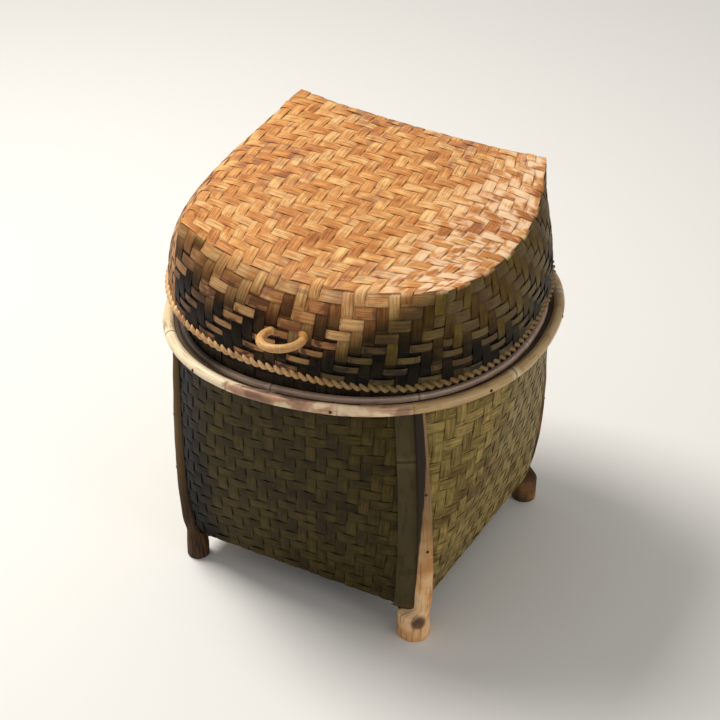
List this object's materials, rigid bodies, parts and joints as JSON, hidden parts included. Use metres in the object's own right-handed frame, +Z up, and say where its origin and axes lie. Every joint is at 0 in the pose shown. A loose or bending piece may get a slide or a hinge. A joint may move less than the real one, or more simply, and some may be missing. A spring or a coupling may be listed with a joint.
{
  "type": "wicker basket",
  "caption": "Lidded wicker basket, twill-woven, square at the foot and nearly round at the mouth, with stick legs, cane rim hoops and a loose pillow-shaped lid with a cane pull ring",
  "frame": {"origin": "middle of the whole basket's box on the ground, under its feet", "axes": "+Z up; -Y is the front, the side of the lid that carries the pull ring; +X is the right as seen from the front"},
  "size_m": [0.301, 0.314, 0.3293],
  "materials": {
    "body_weave": "satin woven bamboo strips, straw colour",
    "lid_weave": "satin woven bamboo strips, honey colour",
    "cane": "smooth pale rattan cane",
    "dark_cane": "weathered split rattan",
    "stick": "whittled bamboo stick",
    "peg": "dark split bamboo"
  },
  "bodies": {
    "basket": {"woven_body": "body_weave", "collar": "body_weave", "rim_hoop_long": "cane", "rim_hoop_short": "cane", "rim_hoop_inner": "dark_cane", "rim_peg_1": "peg", "rim_peg_2": "peg", "rim_peg_3": "peg", "rim_peg_4": "peg", "rim_peg_5": "peg", "rim_peg_6": "peg", "rim_peg_7": "peg", "rim_peg_8": "peg", "floor_batten_front_back": "stick", "floor_batten_left_right": "stick", "leg_front": "stick", "leg_left": "stick", "leg_right": "stick", "leg_back": "stick", "leg_peg_front_lower": "peg", "leg_peg_front_upper": "peg", "leg_peg_left_lower": "peg", "leg_peg_left_upper": "peg", "leg_peg_right_lower": "peg", "leg_peg_right_upper": "peg", "leg_peg_back_lower": "peg", "leg_peg_back_upper": "peg"},
    "lid": {"lid_shell": "lid_weave", "lid_border": "cane", "lid_seat_hoop": "dark_cane"},
    "pull_ring": {"pull_ring": "cane"}
  },
  "joints": [
    {"name": "lid_lift", "type": "slide", "parent": "basket", "child": "lid", "axis": [0, 0, 1], "range_m": [0, 0.15]},
    {"name": "ring_swing", "type": "hinge", "parent": "lid", "child": "pull_ring", "pos_m": [0.01417, -0.12983, 0.26905], "axis": [-0.9888, -0.1144, -0.0958], "range_deg": [0, 35]}
  ]
}
